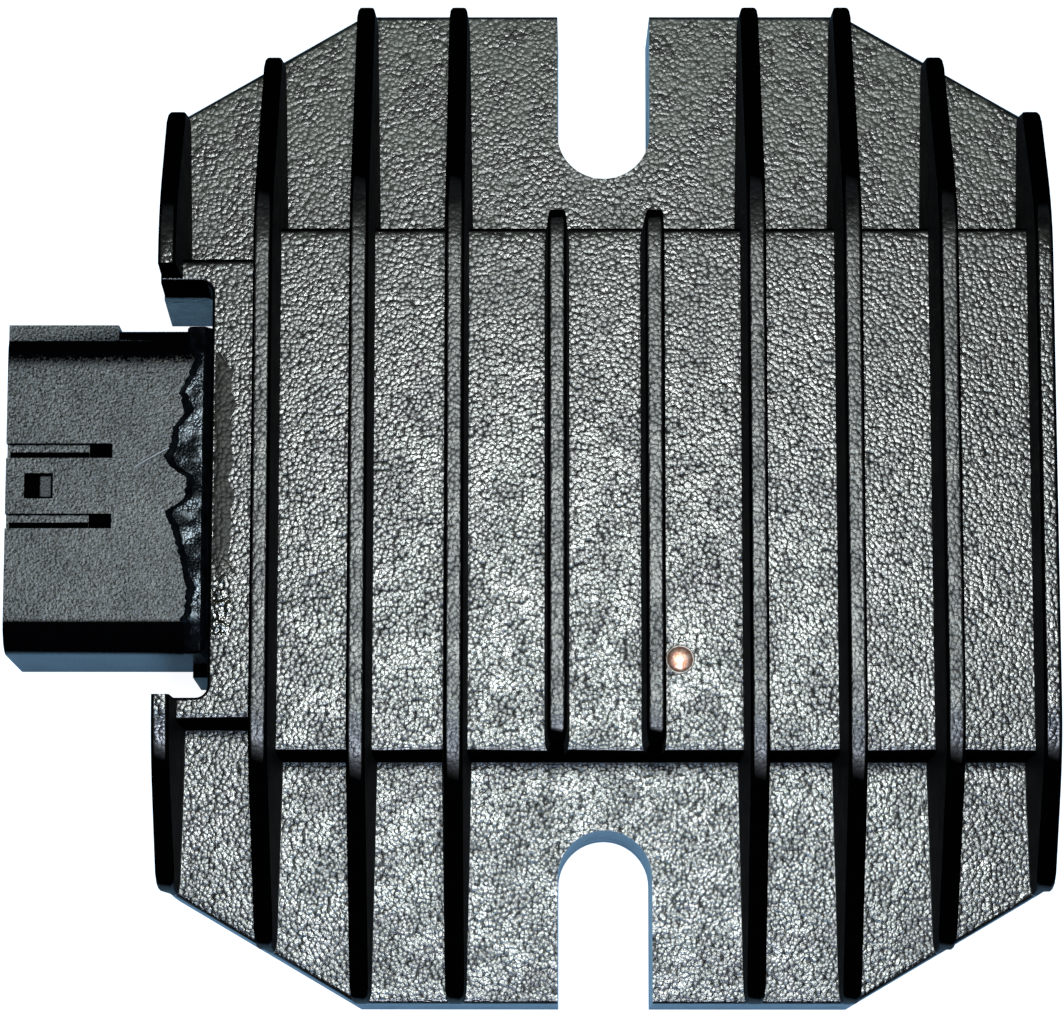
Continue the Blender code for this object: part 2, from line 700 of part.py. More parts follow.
def leg_form(bm, x, y):
    front = y - PACKAGE_LENGTH / 2
    middle = PART_TOP - PACKAGE_HEIGHT / 2
    half = PACKAGE_LEG / 2
    bend = front - LEG_BEND
    tip = bend - LEG_FOOT
    thin = LEG_THICKNESS
    profile = [(front + PACKAGE_LEG, middle), (bend, middle), (bend - thin, PART_TOP - thin)]
    profile += [(tip, PART_TOP - thin), (tip, PART_TOP), (bend, PART_TOP), (bend + thin, middle + thin)]
    profile += [(front + PACKAGE_LEG, middle + thin)]
    for side in (-1, 1):
        place = x + side * PACKAGE_WIDTH / 4
        loft(bm, [[(across, along, up) for along, up in profile] for across in (place - half, place + half)])


def package_places():
    """(name, x, y) of the three thyristors and the three diodes."""
    places = []
    for row, kind in ((1, "thyristor"), (-1, "diode")):
        for k in range(PACKAGE_COLUMNS):
            x = PACKAGE_START + k * PACKAGE_PITCH
            places.append((f"{kind}_{k + 1}", x, row * PACKAGE_ROW))
    return places


def make_packages(parts, helpers, frame):
    finish = material("black_epoxy_package", (0.03, 0.03, 0.03), 0.0, 0.5)
    for name, x, y in package_places():
        bm = bmesh.new()
        package_form(bm, x, y)
        package = add_object(name, mesh_from(name, bm), parts, frame, finish)
        legs = bmesh.new()
        leg_form(legs, x, y)
        boolean(package, add_object(name + "_legs", mesh_from("legs", legs), helpers, frame), "UNION")


def control_places():
    """(y of chip, capacitor, resistors) in one column at the board's far end."""
    return (HOLLOW_HALF * CHIP_SHARE, HOLLOW_HALF * CAPACITOR_SHARE, HOLLOW_HALF * RESISTOR_SHARE)


def make_controls(parts, frame):
    chip_y, capacitor_y, resistor_y = control_places()
    chip = bmesh.new()
    half = CHIP_SIZE / 2
    box(chip, CONTROL_X - half, CONTROL_X + half, chip_y - half, chip_y + half, PART_TOP - CHIP_HEIGHT, PART_TOP)
    finish = material("black_chip", (0.02, 0.02, 0.02), 0.0, 0.4)
    made = add_object("control_chip", mesh_from("control_chip", chip), parts, frame, finish)
    bevel = made.modifiers.new("edges", "BEVEL")
    bevel.width = CHIP_BEVEL
    bevel.segments = 1

    can = bmesh.new()
    rod(can, CONTROL_X, capacitor_y, PART_TOP - CAPACITOR_HEIGHT, PART_TOP, CAPACITOR_DIAMETER)
    finish = material("capacitor_can", (0.75, 0.75, 0.76), 1.0, 0.35)
    made = add_object("smoothing_capacitor", mesh_from("smoothing_capacitor", can), parts, frame, finish)
    bevel = made.modifiers.new("rim", "BEVEL")
    bevel.width = CAPACITOR_RIM
    bevel.segments = 2

    finish = material("resistor_ceramic", (0.05, 0.05, 0.06), 0.0, 0.5)
    for k, shift in enumerate((-0.5, 0.5)):
        x = CONTROL_X + shift * (RESISTOR_WIDTH + RESISTOR_GAP)
        block = bmesh.new()
        y0, y1 = resistor_y - RESISTOR_LENGTH / 2, resistor_y + RESISTOR_LENGTH / 2
        wide = RESISTOR_WIDTH / 2
        box(block, x - wide, x + wide, y0, y1, PART_TOP - RESISTOR_HEIGHT, PART_TOP)
        name = f"sense_resistor_{k + 1}"
        made = add_object(name, mesh_from(name, block), parts, frame, finish)
        bevel = made.modifiers.new("edges", "BEVEL")
        bevel.width = RESISTOR_BEVEL
        bevel.segments = 1


def make_potting(parts, helpers, frame):
    """Resin that fills the hollow to just below the mounting face, with a pocket round each part on the board."""
    finish = material("black_potting_resin", (0.012, 0.012, 0.013), 0.0, 0.25)
    bm = bmesh.new()
    drafted(bm, hollow_outline(CLEARANCE), POTTING_RECESS, PART_TOP, 0.0, DRAFT)
    resin = add_object("potting_compound", mesh_from("potting_compound", bm), parts, frame, finish)
    above = PART_TOP + OVERSIZE
    gap = CLEARANCE

    pockets = bmesh.new()
    for _, x, y in package_places():
        half = PACKAGE_WIDTH / 2 + gap
        front = y - PACKAGE_LENGTH / 2 - LEG_BEND - LEG_FOOT - gap
        back = y + PACKAGE_LENGTH / 2 + PACKAGE_TAB_REACH + gap
        box(pockets, x - half, x + half, front, back, PART_TOP - PACKAGE_HEIGHT - gap, above)
    chip_y, capacitor_y, resistor_y = control_places()
    half = CHIP_SIZE / 2 + gap
    edges = (CONTROL_X - half, CONTROL_X + half, chip_y - half, chip_y + half)
    box(pockets, *edges, PART_TOP - CHIP_HEIGHT - gap, above)
    rod(pockets, CONTROL_X, capacitor_y, PART_TOP - CAPACITOR_HEIGHT - gap, above, CAPACITOR_DIAMETER + 2 * gap)
    half = RESISTOR_WIDTH + RESISTOR_GAP / 2 + gap
    y0, y1 = resistor_y - RESISTOR_LENGTH / 2 - gap, resistor_y + RESISTOR_LENGTH / 2 + gap
    box(pockets, CONTROL_X - half, CONTROL_X + half, y0, y1, PART_TOP - RESISTOR_HEIGHT - gap, above)

    neck = bmesh.new()
    half = NECK_WIDTH / 2 + gap
    box(neck, HOLLOW_LEFT - OVERSIZE, NECK_END + gap, -half, half, -OVERSIZE, above)

    legs = bmesh.new()
    lowest = min(z for _, z in blade_rows()) - BLADE_THICKNESS / 2 - gap
    far = NECK_END + 2 * LEG_SPACING + BLADE_THICKNESS / 2 + gap
    reach = BLADE_PITCH + BLADE_WIDTH / 2 + gap
    box(legs, NECK_END, far, -reach, reach, lowest, above)

    tail = bmesh.new()
    rod(tail, RIVET_X, RIVET_Y, BOARD_UNDER - RIVET_SEAT - RIVET_RISE - gap, above, RIVET_HEAD + 2 * gap)

    for name, form in (
        ("pockets_form", pockets), ("neck_room", neck), ("leg_room", legs), ("rivet_room", tail),
    ):
        boolean(resin, add_object(name, mesh_from(name, form), helpers, frame), "DIFFERENCE")


def make_sealant(parts, frame):
    """Sealant squeezed out between the connector's root and the housing, with an uneven free edge."""
    finish = material("black_gloss_sealant", (0.006, 0.006, 0.007), 0.0, 0.08)
    bottom = SHELL_TOP + CLEARANCE
    rings = []
    for k in range(SEALANT_STEPS + 1):
        share = k / SEALANT_STEPS
        y = SEALANT_WIDTH * (0.5 - share)
        swell = math.sqrt(math.sin(math.pi * share))
        wave = SEALANT_WAVE * swell * sum(
            weight * math.sin(rate * share + phase) for rate, phase, weight in SEALANT_WAVES
        )
        full = SEALANT_END_SHARE + (1 - SEALANT_END_SHARE) * swell
        free = FLANGE_BACK - SEALANT_SPREAD * full - wave
        top = bottom + SEALANT_THICKNESS * full
        lip = (top - bottom) * SEALANT_LIP
        section = [(FLANGE_BACK, bottom), (FLANGE_BACK, top), (free + lip, top)]
        section += [(free + lip * (1 - SEALANT_LIP), bottom + lip), (free, bottom)]
        rings.append([(x, y, z) for x, z in section])
    bm = bmesh.new()
    loft(bm, rings)
    add_object("root_sealant", mesh_from("root_sealant", bm), parts, frame, finish)


def make_rivet(parts, frame):
    """Turned rivet: domed head on the roof, shank through roof, pad and board, and a tail under the board."""
    finish = material("copper", (0.72, 0.36, 0.20), 1.0, 0.22)
    head = RIVET_HEAD / 2
    shank = RIVET_SHANK / 2
    seat = BLOCK_HEIGHT + RIVET_SEAT
    tail = BOARD_UNDER - RIVET_SEAT
    dome = [
        (head * math.sin(a), seat + RIVET_RISE * math.cos(a)) for a in [math.pi / 2 * k / 5 for k in range(6)]
    ]
    profile = dome + [(shank, seat), (shank, tail), (RIVET_TAIL / 2, tail), (RIVET_TAIL_TIP / 2, tail - RIVET_RISE)]
    profile += [(0.0, tail - RIVET_RISE)]
    mesh = bpy.data.meshes.new("ground_rivet")
    edges = [(i, i + 1) for i in range(len(profile) - 1)]
    mesh.from_pydata([(x, 0.0, z) for x, z in profile], edges, [])
    rivet = add_object("ground_rivet", mesh, parts, frame, finish)
    rivet.location = (RIVET_X, RIVET_Y, 0.0)
    screw = rivet.modifiers.new("turn", "SCREW")
    screw.steps = 32
    screw.render_steps = 32
    screw.use_merge_vertices = True
    screw.merge_threshold = 0.00001
    screw.use_smooth_shade = True


def main():
    clear_scene()
    parts = new_collection("voltage_regulator_rectifier")
    helpers = new_collection("helpers")
    frame = bpy.data.objects.new("regulator_frame", None)
    parts.objects.link(frame)
    frame.location = (-(SHELL_END + HALF_WIDTH) / 2, 0.0, 0.0)
    make_housing(parts, helpers, frame)
    make_connector(parts, helpers, frame)
    make_terminals(parts, frame)
    make_board(parts, helpers, frame)
    make_packages(parts, helpers, frame)
    make_controls(parts, frame)
    make_potting(parts, helpers, frame)
    make_sealant(parts, frame)
    make_rivet(parts, frame)


main()
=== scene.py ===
# %% [markdown]
# # A voltage regulator rectifier, seen from above
#
# The real part is an aluminium die casting with ten cooling fins, painted in black hammered enamel. A plug
# connector of black nylon leaves its left side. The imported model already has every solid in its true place,
# so this script gives those solids their finishes, adds the small things that only a close look shows, and
# sets up the lamps, the floor and the camera.

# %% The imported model
import math

import bpy
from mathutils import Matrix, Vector, noise


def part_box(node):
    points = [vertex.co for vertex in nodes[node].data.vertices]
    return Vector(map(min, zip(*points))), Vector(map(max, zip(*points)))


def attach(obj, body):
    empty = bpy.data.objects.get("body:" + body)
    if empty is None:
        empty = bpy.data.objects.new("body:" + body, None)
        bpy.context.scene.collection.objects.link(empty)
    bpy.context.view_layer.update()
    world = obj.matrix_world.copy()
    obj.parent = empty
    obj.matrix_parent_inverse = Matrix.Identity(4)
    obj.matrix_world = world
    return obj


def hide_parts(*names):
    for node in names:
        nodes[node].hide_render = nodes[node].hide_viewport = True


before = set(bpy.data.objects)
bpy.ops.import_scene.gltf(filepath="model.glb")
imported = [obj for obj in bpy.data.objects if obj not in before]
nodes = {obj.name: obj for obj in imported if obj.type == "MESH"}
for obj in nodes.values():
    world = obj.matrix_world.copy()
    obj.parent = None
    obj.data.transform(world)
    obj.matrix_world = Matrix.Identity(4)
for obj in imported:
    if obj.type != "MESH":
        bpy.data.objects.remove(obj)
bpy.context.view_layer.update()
bpy.ops.object.select_all(action="DESELECT")
print("solids loaded:", len(nodes))

# %% [markdown]
# ## Places to work from
#
# Everything is placed from the solids themselves. The part's own middle line lies a little to the right of
# the origin, because the connector counts in the overall box. Lengths are written in mm, and MM turns them
# into metres.

# %% Places
MM = 0.001
housing_low, housing_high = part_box("heatsink_housing")
shell_low, shell_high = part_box("connector_shell")
MIDDLE_X = (housing_low.x + housing_high.x) / 2
SHELL_TOP = shell_high.z
BLOCK_TOP = 19.5  # mm, the level that the fins and the rivet stand on
print("middle line of the casting at x =", round(MIDDLE_X / MM, 3), "mm")

# %% [markdown]
# ## Colours and nodes
#
# Colours are written as the hex values that a colour picker shows. Blender's shaders work in linear light,
# so one function converts them. A second one adds a shader node with its settings and its links, and the
# short ones after it name what a node is used for: noise, domes, a ramp, a bump, a fade or a blend.


# %% Colour and node helpers
def linear(hex_colour):
    """Turns an sRGB hex value into linear red, green, blue and alpha."""
    channels = []
    for k in (0, 2, 4):
        value = int(hex_colour[k:k + 2], 16) / 255
        channels.append(value / 12.92 if value <= 0.04045 else ((value + 0.055) / 1.055) ** 2.4)
    return (*channels, 1.0)


def add_node(material, kind, inputs=None, stops=None, **settings):
    """Adds a shader node. Inputs are constants or sockets, stops are the places and hex colours of a ramp."""
    tree = material.node_tree
    made = tree.nodes.new("ShaderNode" + kind)
    for name, value in settings.items():
        setattr(made, name, value)
    for socket, value in (inputs or {}).items():
        if isinstance(value, bpy.types.NodeSocket):
            tree.links.new(value, made.inputs[socket])
        else:
            made.inputs[socket].default_value = value
    if stops:
        elements = made.color_ramp.elements
        while len(elements) < len(stops):
            elements.new(0.5)
        for element, (position, colour) in zip(elements, stops):
            element.position = position
            element.color = linear(colour)
    return made


def new_material(name, **shader_values):
    """An empty material with a Principled BSDF, and that shader with its constant values."""
    made = bpy.data.materials.new(name)
    made.use_nodes = True
    shader = made.node_tree.nodes["Principled BSDF"]
    for socket, value in shader_values.items():
        shader.inputs[socket.replace("_", " ")].default_value = value
    return made, shader


def feed(material, shader, socket, source):
    material.node_tree.links.new(source, shader.inputs[socket])


def dress(piece, material):
    """Gives a piece one material in every slot."""
    piece.data.materials.clear()
    piece.data.materials.append(material)


def axes(material, vector):
    """The three components of a vector, as sockets."""
    return add_node(material, "SeparateXYZ", {"Vector": vector}).outputs


def blobs(material, place, size, detail=2.0, roughness=0.5):
    """Cloudy noise from 0 to 1, in blobs of about one size in mm."""
    values = {"Vector": place, "Scale": 1 / (size * MM), "Detail": detail, "Roughness": roughness}
    return add_node(material, "TexNoise", values).outputs["Fac"]


def domes(material, place, size):
    """The distance to the nearest cell centre, in cells of about one size in mm."""
    values = {"Vector": place, "Scale": 1 / (size * MM), "Randomness": 1.0}
    return add_node(material, "TexVoronoi", values).outputs["Distance"]


def ramp(material, value, stops):
    return add_node(material, "ValToRGB", {"Fac": value}, stops).outputs["Color"]


def relief(material, shader, height, depth):
    """Bumps the surface. A height of 1 stands for the depth in mm."""
    made = add_node(material, "Bump", {"Height": height, "Strength": 1.0, "Distance": depth * MM})
    feed(material, shader, "Normal", made.outputs["Normal"])


def grained(name, colours, size, depth, **shader_values):
    """A finish with an even grain: a ramp of two or more colours and a bump, both of one grain size in mm."""
    made, shader = new_material(name, **shader_values)
    place = add_node(made, "TexCoord").outputs["Object"]
    grain = blobs(made, place, size, roughness=0.6)
    first, spread = 0.35, 0.30 / (len(colours) - 1)
    stops = [(first + spread * k, colour) for k, colour in enumerate(colours)]
    feed(made, shader, "Base Color", ramp(made, grain, stops))
    relief(made, shader, grain, depth)
    return made


def fade(material, value, low, high, start=0.0, end=1.0):
    """A straight run from start to end while the value goes from low to high."""
    values = {"Value": value, "From Min": low, "From Max": high, "To Min": start, "To Max": end}
    return add_node(material, "MapRange", values).outputs["Result"]


def both(material, first, second, operation="MULTIPLY"):
    """One value from two, a product unless another operation is named."""
    return add_node(material, "Math", {0: first, 1: second}, operation=operation).outputs[0]


def blend(material, share, first, second):
    """Mixes two colours by a share. Each is a socket or a hex value."""
    made = add_node(material, "Mix", data_type="RGBA")
    material.node_tree.links.new(share, made.inputs[0])
    for socket, colour in ((6, first), (7, second)):
        if isinstance(colour, str):
            made.inputs[socket].default_value = linear(colour)
        else:
            material.node_tree.links.new(colour, made.inputs[socket])
    return made.outputs[2]


print("helpers ready")

# %% [markdown]
# ## Hammered enamel
#
# Hammered enamel is a stoving paint that draws itself into small round domes as it dries, less than half a
# millimetre across and very glossy. The paint itself is nearly black, so slopes stay dark, while on a level
# face each dome mirrors the overhead lamp as one small spot, which gives the silver sparkle. The square of
# the distance to the nearest cell centre is the shape of such domes. The slopes above the plate are painted
# near black as shade and made dull. The fins' upright sides get a slight gloss, and their ends that face the
# near side a stronger one, which mirrors the floor's bluish bounce. The crests are rubbed a little duller,
# the level faces of the far half are lighter olive and rougher in patches, and there is one pale smear beside
# the rivet.

# %% Hammered enamel
GRAIN = 0.43
DOME_HEIGHT = 0.042
SHADE_SLOPE = (0.955, 0.90)  # normal Z where the painted shade and dullness of the slopes start and are full
ABOVE_EARS = (12.1 * MM, 12.8 * MM)
CREST_WEAR = (27.0 * MM, 28.6 * MM)
FAR_OLIVE_Y = (8 * MM, 44 * MM)
NEAR_END_Y = (-33.5 * MM, -34.5 * MM)
SMEAR = (MIDDLE_X + 7.14 * MM, -19.49 * MM, BLOCK_TOP * MM)
enamel, shader = new_material("black_hammered_enamel", IOR=1.65)
place = add_node(enamel, "TexCoord").outputs["Object"]
along = axes(enamel, place)
facing = axes(enamel, add_node(enamel, "NewGeometry").outputs["Normal"])
cell = domes(enamel, place, GRAIN)
patch = blobs(enamel, place, 2.6, roughness=0.6)
fine = blobs(enamel, place, 0.19, detail=1.0)
# Slopes above the ears: their colour is painted near black as shade, and they are made dull.
shaded_slope = both(enamel, fade(enamel, facing["Z"], *SHADE_SLOPE), fade(enamel, along["Z"], *ABOVE_EARS))
crest = fade(enamel, along["Z"], *CREST_WEAR, 0.0, 0.09)

height = both(enamel, both(enamel, cell, 2.0, "POWER"), fade(enamel, patch, 0.35, 0.65, -0.7, -1.3))
height = both(enamel, height, both(enamel, fine, 0.40), "ADD")
relief(enamel, shader, height, DOME_HEIGHT)

# Patches on the far half: rougher, and lighter olive in colour on the level faces.
far_olive = both(enamel, fade(enamel, along["Y"], *FAR_OLIVE_Y), fade(enamel, patch, 0.40, 0.62, 0.25, 1.0))
dullness = both(enamel, fade(enamel, patch, 0.3, 0.7, 0.19, 0.27), crest, "ADD")
dullness = both(enamel, dullness, fade(enamel, far_olive, 0.0, 1.0, 0.0, 0.10), "ADD")
dullness = both(enamel, dullness, fade(enamel, shaded_slope, 0.0, 1.0, 0.0, 0.45), "ADD")
feed(enamel, shader, "Roughness", dullness)

fin_side = fade(enamel, both(enamel, facing["X"], facing["X"]), 0.3, 0.6)
upright = both(enamel, fin_side, fade(enamel, facing["Z"], 0.16, 0.08, 0.0, 0.13))
gloss = both(enamel, fade(enamel, shaded_slope, 0.0, 1.0, 0.50, 0.0), upright, "MAXIMUM")
near_end = both(enamel, fade(enamel, facing["Y"], -0.6, -0.8), fade(enamel, facing["Z"], 0.55, 0.40))
near_end = both(enamel, near_end, fade(enamel, along["Y"], *NEAR_END_Y, 0.0, 0.42))
gloss = both(enamel, gloss, near_end, "MAXIMUM")
feed(enamel, shader, "Specular IOR Level", gloss)

paint = ramp(enamel, cell, [(0.10, "121312"), (0.70, "050505")])
paint_far_olive = blend(enamel, both(enamel, far_olive, fade(enamel, facing["Z"], 0.95, 0.99)), paint, "41443a")
away = add_node(enamel, "VectorMath", {0: place, 1: SMEAR}, operation="DISTANCE").outputs["Value"]
smear = both(enamel, fade(enamel, away, 1.2 * MM, 0.5 * MM), fade(enamel, patch, 0.35, 0.6, 0.3, 0.8))
worn = blend(enamel, smear, paint_far_olive, "8d9392")
# Painted shade: on the slopes the colour is set near black.
feed(enamel, shader, "Base Color", blend(enamel, shaded_slope, worn, "020202"))
dress(nodes["heatsink_housing"], enamel)
print("enamel grain", GRAIN, "mm")

# %% [markdown]
# ## Connector nylon
#
# The plug shell is glass-filled nylon and nearly black. Its colour is painted with a fine grey grain on the
# faces that look up, as a painted sheen of the overhead lamp, with painted shade as black bands along both
# edges of the top; the grain ends raggedly at the far one. The outer walls carry a weaker share of the same
# painted sheen, and the walls of the grooves and windows stay black and dull.

# %% Moulded nylon
SHADE_BAND_FAR_Y = (13.9 * MM, 12.9 * MM)
SHADE_BAND_NEAR_Y = (-13.1 * MM, -12.8 * MM)
RAGGEDNESS = 2.2 * MM
SHADE_BAND_BOTTOM = (SHELL_TOP - 0.35 * MM, SHELL_TOP - 0.45 * MM)
GROOVE_FLOOR = (SHELL_TOP - 1.3 * MM, SHELL_TOP - 1.1 * MM)
OUTER_WALL_Y = (15.0 * MM, 15.4 * MM)
MOUTH_X = (shell_low.x + 0.3 * MM, shell_low.x + 0.1 * MM)
nylon, shader = new_material("moulded_glass_filled_nylon", Roughness=0.31, IOR=1.53)
place = add_node(nylon, "TexCoord").outputs["Object"]
along = axes(nylon, place)
facing = axes(nylon, add_node(nylon, "NewGeometry").outputs["Normal"])
speckle = blobs(nylon, place, 0.21, detail=1.5)
cloud = blobs(nylon, place, 5.0)

# Painted shade: black bands along both edges of the top, the far one with a ragged edge.
ragged = both(nylon, along["Y"], both(nylon, speckle, RAGGEDNESS), "ADD")
outside_shade_bands = both(nylon, fade(nylon, ragged, *SHADE_BAND_FAR_Y), fade(nylon, along["Y"], *SHADE_BAND_NEAR_Y))
outside_shade_bands = both(nylon, outside_shade_bands, fade(nylon, along["Z"], *SHADE_BAND_BOTTOM), "MAXIMUM")
# Painted sheen: the grey grain is set only on faces that look up, and at a weaker share on the outer walls.
sheen_top = both(nylon, fade(nylon, facing["Z"], 0.93, 0.99), outside_shade_bands)
sheen_top = both(nylon, sheen_top, fade(nylon, along["Z"], *GROOVE_FLOOR))
outside = fade(nylon, both(nylon, along["Y"], 0.0, "ABSOLUTE"), *OUTER_WALL_Y)
outside = both(nylon, outside, fade(nylon, along["X"], *MOUTH_X), "MAXIMUM")
outside = both(nylon, outside, fade(nylon, facing["Z"], -0.5, -0.9), "MAXIMUM")
side = both(nylon, both(nylon, outside, fade(nylon, facing["Z"], 0.35, 0.12)), 0.48)
level = both(nylon, sheen_top, side, "MAXIMUM")

tint = ramp(nylon, speckle, [(0.42, "020202"), (0.60, "5e6467")])
feed(nylon, shader, "Base Color", blend(nylon, level, "030304", tint))
feed(nylon, shader, "Specular IOR Level", both(nylon, level, fade(nylon, cloud, 0.3, 0.7, 0.24, 0.40)))
relief(nylon, shader, blobs(nylon, place, 0.27), 0.050)
dress(nodes["connector_shell"], nylon)
print("nylon on", nodes["connector_shell"].name)

# %% [markdown]
# ## Smooth copies of the moulded and cast solids
#
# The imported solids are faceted. A copy of each one is merged, shaded smooth up to the real edges, and given
# normals weighted by face size, so that its flats stay flat and its rounded edges shade as curves.


# %% Smooth copies
MERGE = 0.002 * MM
SHARP_ANGLE = 40


def smooth_copy(node_name, piece_name, angle):
    """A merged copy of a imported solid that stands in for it, with soft shading on its rounded edges."""
    source = nodes[node_name]
    piece = source.copy()
    piece.data = source.data.copy()
    piece.name = piece_name
    piece.data.name = piece_name
    bpy.context.scene.collection.objects.link(piece)
    bpy.ops.object.select_all(action="DESELECT")
    piece.select_set(True)
    bpy.context.view_layer.objects.active = piece
    bpy.ops.object.mode_set(mode="EDIT")
    bpy.ops.mesh.select_all(action="SELECT")
    bpy.ops.mesh.remove_doubles(threshold=MERGE)
    bpy.ops.object.mode_set(mode="OBJECT")
    bpy.ops.mesh.customdata_custom_splitnormals_clear()
    bpy.ops.object.shade_smooth_by_angle(angle=math.radians(angle))
    weigh = piece.modifiers.new("weighted_normals", "WEIGHTED_NORMAL")
    weigh.keep_sharp = True
    bpy.ops.object.modifier_apply(modifier=weigh.name)
    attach(piece, "root")
    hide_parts(node_name)
    piece.select_set(False)
    print(piece_name, "has", len(piece.data.polygons), "faces")
    return piece


smooth_copy("heatsink_housing", "housing_casting", SHARP_ANGLE)
smooth_copy("connector_shell", "connector_moulding", SHARP_ANGLE)

# %% [markdown]
# ## Sealant squeezed out over the root
#
# Black sealant has come up between the flange and the casting. It lies over the end of the shell's top in a
# ragged apron with a steep rim, thins out over the flange's ends, and drops into the gap before the casting.
# The apron is a grid whose rows are drawn out to the ragged edge, then thickened downwards. Its material is
# lumpy and glossy in patches, and dull over the flange's ends.

# %% Sealant apron
# (y, x) of the ragged edge in mm from the casting's middle line
RAGGED_EDGE = [
    (-15.9, -40.4), (-13.2, -40.6), (-12.9, -41.0), (-12.1, -40.5), (-9.8, -40.4), (-6.6, -41.1),
    (-4.5, -41.7), (-2.3, -42.6), (-1.6, -41.4), (-1.0, -40.7), (1.0, -40.5), (2.1, -42.1), (3.1, -42.8),
    (3.9, -42.2),
    (6.0, -41.8), (7.4, -40.8), (9.4, -41.3), (10.8, -40.6), (12.9, -39.8), (13.3, -40.3), (15.9, -40.4),
]
SHOULDER_X, WALL_X = -38.95, -38.24
APRON_HEIGHT, RIM, FALL = 0.60, 0.75, 0.85
THIN_FROM_Y, THIN_OVER = 12.7, 2.6
APRON_THICKNESS = 0.25


def edge_at(y):
    """The ragged edge's x at a y, both in mm, with a fine unevenness."""
    for (y0, x0), (y1, x1) in zip(RAGGED_EDGE, RAGGED_EDGE[1:]):
        if y <= y1:
            share = max(0.0, (y - y0) / (y1 - y0))
            return x0 + (x1 - x0) * share + 0.20 * noise.noise(Vector((0.0, y * 2.3, 3.0)))
    return RAGGED_EDGE[-1][1]


def smooth_step(share):
    share = min(1.0, max(0.0, share))
    return share * share * (3 - 2 * share)


def apron_height(x, y, edge):
    """Height of the sealant over the shell's top: a steep rim, a lumpy top and a fall at the casting."""
    rim = RIM * (1.0 + 0.8 * noise.noise(Vector((5.0, y * 0.45, 1.0))))
    rise = smooth_step((x - edge) / rim)
    lumps = 0.07 * noise.noise(Vector((x * 0.8, y * 0.8, 7.0)))
    thinning = 1 - 0.85 * smooth_step((abs(y) - THIN_FROM_Y) / THIN_OVER)
    drop = FALL * smooth_step((x - SHOULDER_X) / (WALL_X - SHOULDER_X))
    return (APRON_HEIGHT + lumps) * rise * thinning - drop


bpy.ops.mesh.primitive_grid_add(x_subdivisions=26, y_subdivisions=260, size=1.0, location=(0.0, 0.0, 0.0))
apron = bpy.context.object
apron.name = "sealant_apron"
for vertex in apron.data.vertices:
    y = RAGGED_EDGE[0][0] + (RAGGED_EDGE[-1][0] - RAGGED_EDGE[0][0]) * (vertex.co.y + 0.5)
    edge = edge_at(y)
    x = edge + (WALL_X - edge) * (vertex.co.x + 0.5)
    vertex.co = (MIDDLE_X + x * MM, y * MM, SHELL_TOP + (0.01 + apron_height(x, y, edge)) * MM)
thicken = apron.modifiers.new("thickness", "SOLIDIFY")
thicken.thickness = APRON_THICKNESS * MM
thicken.offset = -1.0
bpy.ops.object.modifier_apply(modifier=thicken.name)
bpy.ops.object.shade_smooth()
COOL_TINT = linear("DEECFA")
tar, shader = new_material("black_gloss_sealant", IOR=1.55, Roughness=0.25, Specular_Tint=COOL_TINT)
place = add_node(tar, "TexCoord").outputs["Object"]
patch = blobs(tar, place, 1.1, detail=1.0)
feed(tar, shader, "Base Color", ramp(tar, patch, [(0.3, "030304"), (0.7, "0a0e12")]))
lumps = both(tar, both(tar, domes(tar, place, 0.27), 2.0, "POWER"), fade(tar, patch, 0.30, 0.62, -0.1, -1.5))
relief(tar, shader, lumps, 0.026)
from_middle = both(tar, axes(tar, place)["Y"], 0.0, "ABSOLUTE")
glaze = fade(tar, blobs(tar, place, 2.1, detail=1.0), 0.40, 0.62, 0.05, 0.75)
dull_ends = fade(tar, from_middle, 12.6 * MM, 13.4 * MM, 1.0, 0.05)
feed(tar, shader, "Specular IOR Level", both(tar, glaze, dull_ends))
dress(apron, tar)
dress(nodes["root_sealant"], tar)
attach(apron, "root")
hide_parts("root_sealant")
apron.select_set(False)
print("sealant apron has", len(apron.data.polygons), "faces")

# %% [markdown]
# ## Painted shade behind the latch window and the groove ends
#
# The latch window and the deep ends of the two grooves open into the socket in the imported solids, but look
# black from above. A thin black sheet of painted shade closes each one just under the ceiling of the socket.
# One more such sheet lies along each groove's lower side as its painted shade, and a ramp inside the window
# has a grey grain painted into its colour as the sheen that it catches.

# %% Shade webs and latch ramp
# x, y, length and width in mm
WINDOWS = ((-54.81, 0.2, 3.0, 2.7), (-48.87, -3.25, 2.6, 1.7), (-48.87, 3.65, 2.6, 1.7))
GROOVE_SHADES = ((-53.87, 3.29, 7.7, 0.73), (-53.87, -3.61, 7.7, 0.73))
SHADE_WEB_DEPTH, SHADE_WEB_THICKNESS = 2.0, 0.3
SHADE_DEPTH, SHADE_THICKNESS = 0.98, 0.10
CATCH_DEPTH, CATCH_SIZE = 0.55, (1.10, 2.05, 0.40)


def connector_box(x, y, depth, size):
    """A box at x and y from the casting's middle and at a depth under the shell's top, all in mm."""
    place = (MIDDLE_X + x * MM, y * MM, SHELL_TOP - depth * MM)
    bpy.ops.mesh.primitive_cube_add(size=1.0, location=place)
    made = bpy.context.object
    made.scale = [side * MM for side in size]
    bpy.ops.object.transform_apply(location=True, rotation=False, scale=True)
    return made


def bevel_all(offset, segments):
    """Bevels every edge of the active piece by an offset in mm."""
    bpy.ops.object.mode_set(mode="EDIT")
    bpy.ops.mesh.select_all(action="SELECT")
    bpy.ops.mesh.bevel(offset=offset * MM, segments=segments, affect="EDGES")
    bpy.ops.object.mode_set(mode="OBJECT")


